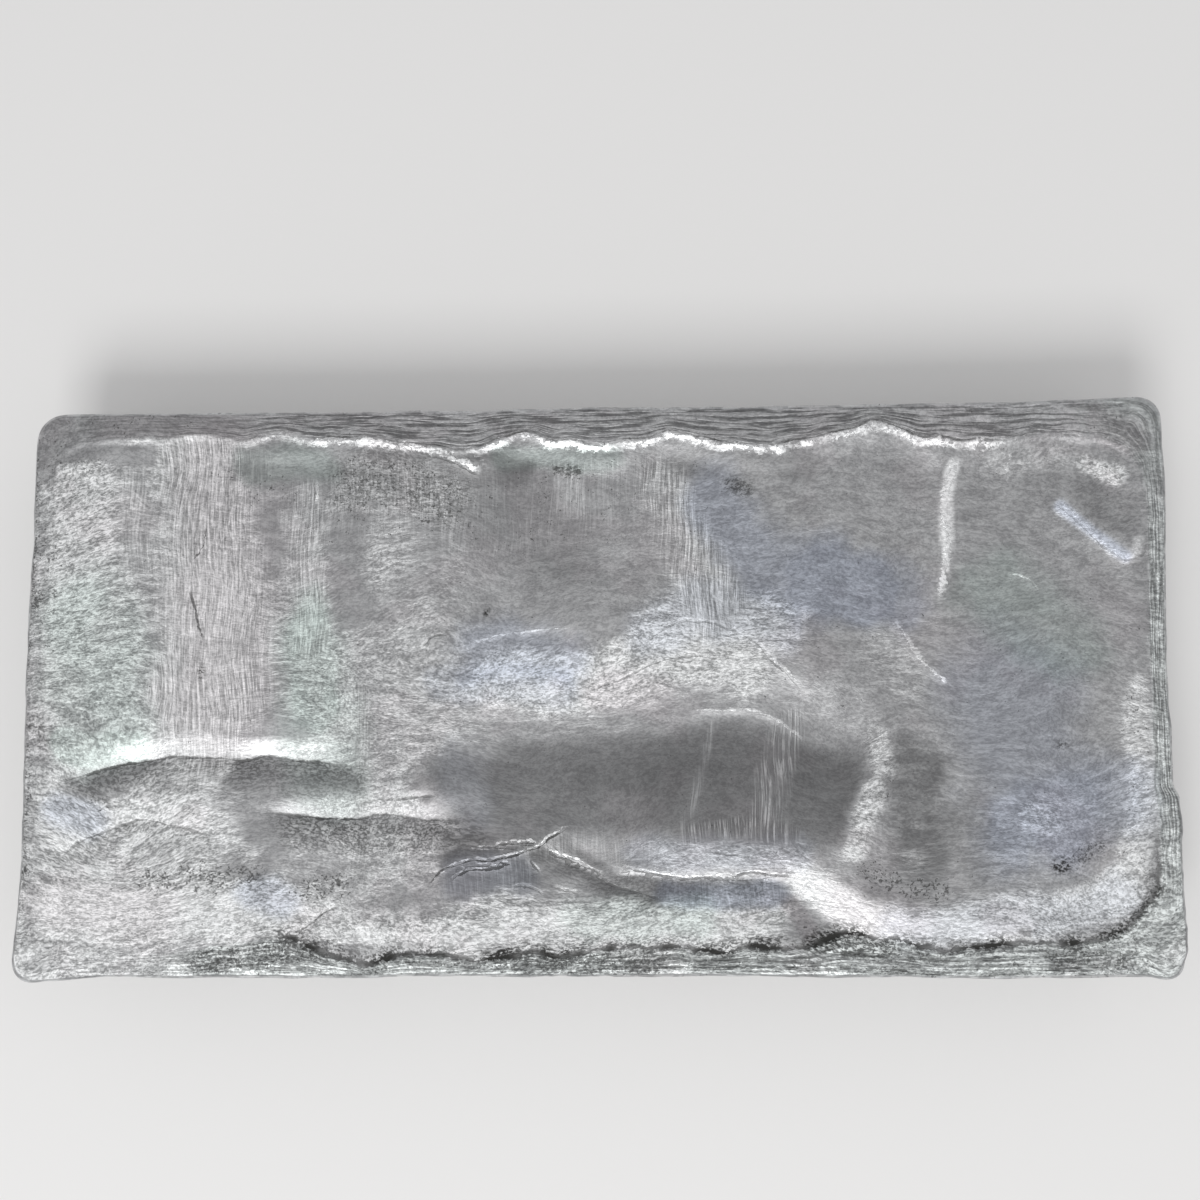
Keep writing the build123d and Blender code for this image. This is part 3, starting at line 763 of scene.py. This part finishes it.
def reliefOf(skin):
    x, y = skin["x"] / mm, skin["y"] / mm
    relief = {"x": x, "y": y, "height": np.zeros(x.shape)}
    for name in maskNames:
        relief[name] = np.zeros(x.shape)
    for kind in lineKinds:
        relief[kind + "Score"], relief[kind + "Mask"] = np.full(x.shape, 1e9), np.zeros(x.shape)
        relief[kind + "Line"] = np.full(x.shape, 20.0)
    relief["broken"] = 0.5 + 0.5 * np.clip(cloud(x, y, 7.0, 5) * 1.8, -1.0, 1.0)
    relief["jagX"], relief["jagY"] = bent(x, y, 0.9, 10.0, 13)
    relief["flowX"] = x + 9.0 * cloud(x, y, 55.0, 15, 2)
    relief["flowY"] = y + 11.0 * cloud(x, y, 60.0, 16, 2)
    shapeRim(skin, relief)
    cutCreases(relief)
    raiseRidges(relief)
    paintPatches(relief)
    settleMasks(relief)
    wrinkleSkin(skin, relief)
    return relief


# Relief of the outline and the walls, in millimetres

walls = {
    "wave": 0.6,  # how far the outline wanders
    "waveSize": 45.0,
    "finReach": 2.4,
    "finFrom": -37.0,
    "finTo": -101.0,
    "finThickness": 3.2,
    "laps": 0.14,
    "lapSpacing": 3.1,
    "lapLines": 0.22,  # how strong their drawn lines are
    "specks": 0.35,
    "pits": 0.25,
    "corners": {(-1, 1): 0.8, (1, 1): 2.2, (1, -1): 4.0, (-1, -1): 3.0},  # how far each is filled out
    "bulges": [(-214.0, -98.0, 24.0, 2.0), (-214.0, 20.0, 60.0, 1.2), (215.0, 80.0, 40.0, 2.2)],
}


def shapeWalls(skin):
    # everything here moves a vertex straight out from the outline
    x, y, z = skin["x"] / mm, skin["y"] / mm, skin["z"] / mm
    outX, outY, inset, wall = skin["outX"], skin["outY"], skin["inset"], ~skin["face"]
    edgeX, edgeY = x + outX * inset, y + outY * inset
    hold = 1.0 - ease(inset / 14.0)
    out = walls["wave"] * cloud(edgeX, edgeY, walls["waveSize"], 31, 4) * hold
    diagonal = (2.0 * outX * outY) ** 2
    for (signX, signY), fill in walls["corners"].items():
        out = out + fill * diagonal * hold * (outX * signX > 0) * (outY * signY > 0)
    for bulgeX, bulgeY, half, reach in walls["bulges"]:  # place, half width and reach of each
        out = out + reach * bell(np.hypot(edgeX - bulgeX, edgeY - bulgeY), half) * hold
    finShare = ease((walls["finFrom"] - edgeY) / 6.0) * ease((edgeY - walls["finTo"]) / 5.0) * (outX > 0.3)
    under = ease((z - skin["rimLevel"] / mm + walls["finThickness"] + 0.5) / 1.0)
    ragged = 1.0 + 0.25 * cloud(edgeY, edgeX, 9.0, 32)
    out = out + walls["finReach"] * finShare * ragged * np.where(wall, under, hold)
    around = np.arctan2(edgeY, edgeX) * 180.0
    lapWave = np.sin(2.0 * math.pi * (z / walls["lapSpacing"] + 1.4 * cloud(around, z, 60.0, 33)))
    out = out + np.where(wall & (z > 4.0), walls["laps"] * lapWave, 0.0)
    out = out + np.where(wall & (z > 2.0), walls["pits"] * cloud(around, z * 2.0, 7.0, 34, 2), 0.0)
    skin["x"] = skin["x"] + out * outX * mm
    skin["y"] = skin["y"] + out * outY * mm


def meshOf(work, name):
    mesh = bpy.data.meshes.new(name)
    work.to_mesh(mesh)
    work.free()
    return mesh


def writeLayers(mesh, skin, relief):
    # what the material reads: masks, lines, rim and laps, and places that flow with the skin
    faceLayers = maskNames + ("brightMask", "darkMask")
    layers = {name: np.where(skin["face"], relief[name], 0.0) for name in faceLayers}
    layers["specks"] = np.where(skin["face"], relief["specks"], walls["specks"])
    layers["wall"] = np.where(skin["face"], 0.0, 1.0)
    for name in ("brightLine", "darkLine", "rim", "lap"):
        layers[name] = relief[name]
    for name, values in layers.items():
        layer = mesh.attributes.new(name, "FLOAT", "POINT")
        layer.data.foreach_set("value", values.astype(np.float32))
    flow = mesh.attributes.new("flow", "FLOAT_VECTOR", "POINT")
    flowPlaces = np.column_stack([relief["flowX"] * mm, relief["flowY"] * mm, skin["z"]])
    flow.data.foreach_set("vector", flowPlaces.astype(np.float32).ravel())


def buildIngot():
    rings = ringProfile(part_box("ingot")[1][2] - blank["rimFall"])
    mesh = meshOf(drawBlank(len(rings)), "ingotSkin")
    skin = layOnSolid(mesh, rings)
    findEdge(skin)
    soften(mesh, skin)
    print("skin laid on the solid:", len(mesh.vertices), "vertices")
    relief = reliefOf(skin)
    settled = relief["height"] * np.clip(skin["inset"], 0.0, 1.0)
    skin["z"] = skin["z"] + np.where(skin["face"], settled, 0.0) * mm
    shapeWalls(skin)
    putPlaces(mesh, skin)
    writeLayers(mesh, skin, relief)
    work = bmesh.new()
    work.from_mesh(mesh)
    bmesh.ops.recalc_face_normals(work, faces=work.faces)
    work.to_mesh(mesh)
    work.free()
    mesh.polygons.foreach_set("use_smooth", np.ones(len(mesh.polygons), bool))
    made = addObject("ingotSkin", mesh)
    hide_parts("ingot")
    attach(made, "root")
    return made


ingot = buildIngot()
print("ingot shaped")

# Materials


def addNode(tree, kind, inputs=None, **fields):
    made = tree.nodes.new(kind)
    for name, value in fields.items():
        setattr(made, name, value)
    for name, value in (inputs or {}).items():
        if isinstance(value, bpy.types.NodeSocket):
            tree.links.new(value, made.inputs[name])
        else:
            made.inputs[name].default_value = value
    return made


def addTo(inputs, kind, **fields):
    # a node in the tree of the sockets that it is given
    tree = next(value.id_data for value in inputs.values() if isinstance(value, bpy.types.NodeSocket))
    return addNode(tree, kind, inputs, **fields).outputs


def maths(operation, first, second=0.0, clamp=False):
    return addTo({0: first, 1: second}, "ShaderNodeMath", operation=operation, use_clamp=clamp)[0]


def plus(first, second):
    return maths("ADD", first, second)


def minus(first, second):
    return maths("SUBTRACT", first, second)


def times(first, second, clamp=False):
    return maths("MULTIPLY", first, second, clamp)


def over(first, second):
    return maths("DIVIDE", first, second)


def larger(first, second):
    return maths("MAXIMUM", first, second)


def scaled(value, factor, base):
    return plus(times(value, factor), base)


def shared(first, second, share):
    return plus(times(first, share), times(second, 1.0 - share))


def mixed(factor, first, second, blend="MIX"):
    return addTo({0: factor, 6: first, 7: second}, "ShaderNodeMix", data_type="RGBA", blend_type=blend)[2]


def ramped(value, fromLow, fromHigh, toLow=0.0, toHigh=1.0):
    inputs = {"Value": value, "From Min": fromLow, "From Max": fromHigh, "To Min": toLow, "To Max": toHigh}
    return addTo(inputs, "ShaderNodeMapRange", interpolation_type="SMOOTHSTEP")[0]


def noise(place, scale, detail=3.0, roughness=0.5, distortion=0.0):
    inputs = {"Vector": place, "Scale": scale, "Detail": detail, "Roughness": roughness,
              "Distortion": distortion}
    return addTo(inputs, "ShaderNodeTexNoise")["Fac"]


def apart(place):
    return addTo({0: place}, "ShaderNodeSeparateXYZ")


def placed(x, y, z=0.0):
    return addTo({0: x, 1: y, 2: z}, "ShaderNodeCombineXYZ")[0]


def attribute(tree, name, output="Fac"):
    return addNode(tree, "ShaderNodeAttribute", attribute_name=name).outputs[output]


def newGroup(name, inputs, draw):
    # draw takes the group's inputs and returns its outputs by name. An input with no value is a vector
    tree = bpy.data.node_groups.new(name, "ShaderNodeTree")
    for socket, value in inputs.items():
        kind = "NodeSocketVector" if value is None else "NodeSocketFloat"
        made = tree.interface.new_socket(socket, in_out="INPUT", socket_type=kind)
        if value is not None:
            made.default_value = value
    results = draw(tree.nodes.new("NodeGroupInput").outputs)
    for socket in results:
        tree.interface.new_socket(socket, in_out="OUTPUT", socket_type="NodeSocketFloat")
    leave = tree.nodes.new("NodeGroupOutput")
    for socket, value in results.items():
        tree.links.new(value, leave.inputs[socket])
    return tree


def useGroup(group, **inputs):
    return addTo(inputs, "ShaderNodeGroup", node_tree=group)


def drawCrystals(given):
    # white flakes with dark gaps between them, drawn out a little along the flow of the skin
    x, y, z = apart(given["Flow"])
    grain = noise(placed(over(x, given["Stretch"]), y, z), over(1.0, given["Size"]), 3.0, 0.7, 0.5)
    return {"Flakes": ramped(grain, 0.42, 0.58), "Height": grain}


def drawJagged(given):
    # a torn line where the distance is near zero: 1 on it, 0 beside it. Distance and tear are in half widths
    torn = noise(given["Vector"], 1 / (2.2 * mm), 3.0, 0.65)
    swollen = noise(given["Vector"], 1 / (4 * mm), 3.0, 0.6)
    away = maths("ABSOLUTE", plus(given["Distance"], times(minus(torn, 0.5), given["Tear"])))
    line = ramped(over(away, ramped(swollen, 0.36, 0.64, 0.2, 1.65)), 0.5, 1.05, 1.0, 0.0)
    return {"Line": times(line, given["Mask"])}


def drawScrapes(given):
    # fine wandering lines along Y, as a scraper leaves
    x, y = apart(given["Vector"])[:2]
    swayed = plus(x, times(noise(given["Vector"], 1 / (34 * mm), 1.0), 7 * mm))
    lines = noise(placed(over(swayed, given["Width"]), over(y, given["Length"])), 1.0, 3.0, 0.65, 0.7)
    return {"Lines": ramped(lines, 0.40, 0.62)}


def drawLaps(given):
    # thin lines that follow the rim, from its own measure across and the place along it
    x, y = apart(given["Vector"])[:2]
    along = times(plus(x, y), 1 / (16 * mm))
    lines = noise(placed(along, over(given["Lap"], given["Spacing"])), 1.0, 3.0, 0.6, 0.4)
    return {"Lines": ramped(lines, 0.40, 0.60)}


def drawSpecks(given):
    # scattered pits of uneven size: 1 in a pit, 0 beside it
    scale = over(1.0, given["Size"])
    close, patchy = noise(given["Vector"], scale, 2.0, 0.6), noise(given["Vector"], times(scale, 0.3), 1.0)
    limit = minus(1.02, times(given["Amount"], 0.22))
    return {"Specks": ramped(minus(plus(close, times(patchy, 0.5)), limit), 0.0, 0.05)}


def drawDrift(given):
    # slow changes over the surface
    return {"Drift": ramped(noise(given["Vector"], over(1.0, given["Size"]), 3.0, 0.55), 0.33, 0.67)}


crystalGrain = newGroup("crystalGrain", {"Flow": None, "Size": 0.001, "Stretch": 2.0}, drawCrystals)
jaggedLine = newGroup("jaggedLine", {"Vector": None, "Distance": 9.0, "Mask": 0.0, "Tear": 3.0}, drawJagged)
drawnLines = newGroup("drawnLines", {"Vector": None, "Width": 0.001, "Length": 0.02}, drawScrapes)
lapLines = newGroup("lapLines", {"Vector": None, "Lap": 0.0, "Spacing": 1.0}, drawLaps)
specks = newGroup("specks", {"Vector": None, "Size": 0.001, "Amount": 0.5}, drawSpecks)
drift = newGroup("drift", {"Vector": None, "Size": 0.03}, drawDrift)

metal = {
    "skin": (0.25, 0.25, 0.255, 1.0),
    # dark smooth skin, which also serves for painted shade and a painted dark reflection
    "dullAndShade": (0.135, 0.135, 0.137, 1.0),
    "flake": (0.84, 0.85, 0.85, 1.0),
    "gap": (0.25, 0.255, 0.255, 1.0),
    # white of rubbed metal and of painted highlights
    "rubAndHighlight": (0.95, 0.96, 0.96, 1.0),
    # near black of soot and dirt, and of painted shade
    "sootAndShade": (0.055, 0.055, 0.052, 1.0),
    "wall": (0.36, 0.365, 0.37, 1.0),
    "tints": {"blue": (0.75, (0.80, 0.86, 1.0, 1.0)), "green": (0.65, (0.87, 1.0, 0.94, 1.0)),
              "warm": (0.55, (1.0, 0.93, 0.95, 1.0))},  # strength and colour of each
    "grain": 0.85 * mm,
    "grainStretch": 1.8,
    "coarseGrain": 3.4 * mm,
    "coarseStretch": 2.6,
    "fineShare": 0.62,  # of the fine crystals, beside the coarse ones
    "scrapeWidth": 0.8 * mm,
    "scrapeLength": 24 * mm,
    "shortScrape": 5 * mm,
    "shortShare": 0.65,  # of the short scrapes, beside the long ones
    "turned": 0.8,  # how far the crystals lie along the scrapes
    "scraped": 0.6,  # contrast of the scrapes
    "lapSpacing": 1.3,
    "lapped": 0.85,  # contrast of the lap lines
    "pitSize": 0.9 * mm,
    "pitDirt": 0.65,
    "crackShade": 0.84,
    "tear": 3.2,  # half widths by which torn lines are torn
    "smallDrift": 6 * mm,
    "wideDrift": 38 * mm,
    "wallWear": {"stains": (0.32, "dullAndShade"), "footDirt": (0.35, "sootAndShade"), "edgeWear": (0.4, "flake")},
    "roughness": 0.50,
    "metallic": 0.9,
    "bumpHeight": 0.35 * mm,
}


def castMetal():
    material = bpy.data.materials.new("castMetal")
    material.use_nodes = True
    tree = material.node_tree
    tree.nodes.clear()
    place, flow = addNode(tree, "ShaderNodeTexCoord").outputs["Object"], attribute(tree, "flow", "Vector")
    mask = {name: attribute(tree, name) for name in maskNames + ("wall", "rim", "lap")}
    fine = useGroup(crystalGrain, Flow=flow, Size=metal["grain"], Stretch=metal["grainStretch"])
    coarse = useGroup(crystalGrain, Flow=flow, Size=metal["coarseGrain"], Stretch=metal["coarseStretch"])
    lines, shortLines = [
        useGroup(drawnLines, Vector=place, Width=metal["scrapeWidth"], Length=length)["Lines"]
        for length in (metal["scrapeLength"], metal["shortScrape"])]
    laps = useGroup(lapLines, Vector=place, Lap=mask["lap"], Spacing=metal["lapSpacing"])["Lines"]
    pits = useGroup(specks, Vector=place, Size=metal["pitSize"], Amount=mask["specks"])["Specks"]
    small, wide = [useGroup(drift, Vector=place, Size=size)["Drift"]
                   for size in (metal["smallDrift"], metal["wideDrift"])]
    # bright lines are painted highlights, dark lines painted shade
    brightLine, darkLine = [useGroup(jaggedLine, Vector=place, Distance=attribute(tree, kind + "Line"),
                                     Mask=attribute(tree, kind + "Mask"), Tear=metal["tear"])["Line"]
                            for kind in lineKinds]

    # smooth skin, then crystals over it, which lie along the scrapes where the skin was scraped
    flakes = shared(fine["Flakes"], coarse["Flakes"], metal["fineShare"])
    turned = times(mask["scrape"], minus(shared(shortLines, lines, metal["shortShare"]), flakes))
    flakes = plus(flakes, times(turned, metal["turned"]))
    mottle = plus(times(small, 0.05), times(flakes, 0.25))
    smooth = mixed(mottle, metal["skin"], metal["flake"])
    # dark smooth skin, also the painted shade of hollows and the painted dark reflection of the basin
    smooth = mixed(mask["dullAndShade"], smooth, mixed(times(mottle, 0.35), metal["dullAndShade"], metal["flake"]))
    loose = times(minus(coarse["Height"], 0.5), scaled(mask["frost"], 1.2, 0.35))
    cover = ramped(plus(mask["frost"], loose), 0.0, 1.0)
    color = mixed(cover, smooth, mixed(flakes, metal["gap"], metal["flake"]))
    # walls, stained all over, dirty at the foot and rubbed at the top
    wallColor = mixed(plus(times(flakes, 0.16), times(wide, 0.14)), metal["wall"], metal["flake"])
    wear = {"stains": times(ramped(wide, 0.35, 1.0), plus(small, 0.4)),
            "footDirt": times(ramped(mask["lap"], -41.0, -35.0, 1.0, 0.0), plus(small, 0.3)),
            "edgeWear": times(ramped(mask["lap"], -4.0, -1.0), ramped(small, 0.3, 0.7))}
    for name, (strength, shade) in metal["wallWear"].items():
        wallColor = mixed(times(wear[name], strength), wallColor, metal[shade])
    color = mixed(mask["wall"], color, wallColor)
    # lap lines of the rim and the walls
    lapped = times(minus(laps, 0.5), mask["rim"])
    lapShade = scaled(lapped, metal["lapped"], 1.0)
    lapTint = addTo({0: lapShade, 1: lapShade, 2: lapShade}, "ShaderNodeCombineColor")[0]
    color = mixed(1.0, color, lapTint, "MULTIPLY")
    # scrapes, rubbed metal and painted highlights, dirt and painted shade
    scraped = times(minus(lines, 0.45), times(mask["scrape"], ramped(small, 0.1, 0.6, 0.35, 1.0)))
    color = mixed(times(scraped, metal["scraped"], clamp=True), color, metal["flake"])
    color = mixed(times(scraped, -metal["scraped"], clamp=True), color, metal["dullAndShade"])
    rubAndHighlight = times(mask["rubAndHighlight"], scaled(fine["Flakes"], 0.45, 0.55), clamp=True)
    rubAndHighlight = larger(rubAndHighlight, times(brightLine, scaled(fine["Flakes"], 0.65, 0.42), clamp=True))
    color = mixed(rubAndHighlight, color, metal["rubAndHighlight"])
    # soot, dirt in pits, and painted shade in cracks, creases, gullies and along dark lines
    grimeAndShade = times(mask["sootAndShade"], minus(1.2, fine["Flakes"]), clamp=True)
    grimeAndShade = larger(grimeAndShade, times(pits, metal["pitDirt"]))
    grimeAndShade = larger(grimeAndShade, times(darkLine, metal["crackShade"], clamp=True))
    color = mixed(grimeAndShade, color, metal["sootAndShade"])
    # oxide tints
    mask["warm"] = larger(mask["warm"], times(ramped(wide, 0.5, 1.0), 0.5))
    for name, (strength, tint) in metal["tints"].items():
        color = mixed(times(mask[name], strength), color, tint, "MULTIPLY")

    rough = minus(scaled(cover, 0.12, metal["roughness"]), times(rubAndHighlight, 0.08))
    rough = plus(rough, times(grimeAndShade, 0.3))
    metallic = minus(metal["metallic"], times(cover, 0.3))
    height = times(plus(times(fine["Height"], 0.8), coarse["Height"]), plus(cover, 0.22))
    for part, rise in ((scraped, 0.35), (lapped, 0.5), (brightLine, 0.5)):
        height = plus(height, times(part, rise))
    height = minus(height, larger(times(pits, 0.6), darkLine))
    bump = addTo({"Strength": 1.0, "Distance": metal["bumpHeight"], "Height": height}, "ShaderNodeBump")[0]
    shader = addTo({"Base Color": color, "Roughness": rough, "Metallic": metallic, "Normal": bump},
                   "ShaderNodeBsdfPrincipled")[0]
    addNode(tree, "ShaderNodeOutputMaterial", {0: shader})
    return material


ingot.data.materials.append(castMetal())
print("metal made")

# Floor, lamps and world

studio = {
    "floorColor": (0.76, 0.755, 0.745, 1.0),
    "floorSize": 24.0,
    "worldColor": (0.80, 0.80, 0.81, 1.0),
    "worldStrength": 0.85,
    "keyPlace": (-0.25, -1.35, 1.6),
    "keySize": 0.9,
    "keyPower": 21.0,
}


def addFloor():
    work = bmesh.new()
    bmesh.ops.create_grid(work, x_segments=1, y_segments=1, size=studio["floorSize"] / 2.0,
                          matrix=Matrix.Translation((0, 0, -0.1 * mm)))
    made = addObject("floor", meshOf(work, "floor"))
    material = bpy.data.materials.new("floorPaper")
    material.use_nodes = True
    shader = material.node_tree.nodes["Principled BSDF"]
    shader.inputs["Base Color"].default_value = studio["floorColor"]
    shader.inputs["Roughness"].default_value = 0.9
    made.data.materials.append(material)


def addLamp(name, place, size, power):
    data = bpy.data.lights.new(name, "AREA")
    data.shape, data.size, data.energy = "SQUARE", size, power
    made = addObject(name, data)
    made.location = place
    made.rotation_euler = (-Vector(place)).to_track_quat("-Z", "Y").to_euler()


def addWorld():
    world = bpy.data.worlds.new("studio")
    world.use_nodes = True
    shader = world.node_tree.nodes["Background"]
    shader.inputs["Color"].default_value = studio["worldColor"]
    shader.inputs["Strength"].default_value = studio["worldStrength"]
    scene.world = world


addFloor()
addLamp("key", studio["keyPlace"], studio["keySize"], studio["keyPower"])
addWorld()
scene.view_settings.view_transform = "Standard"
print("studio lit")
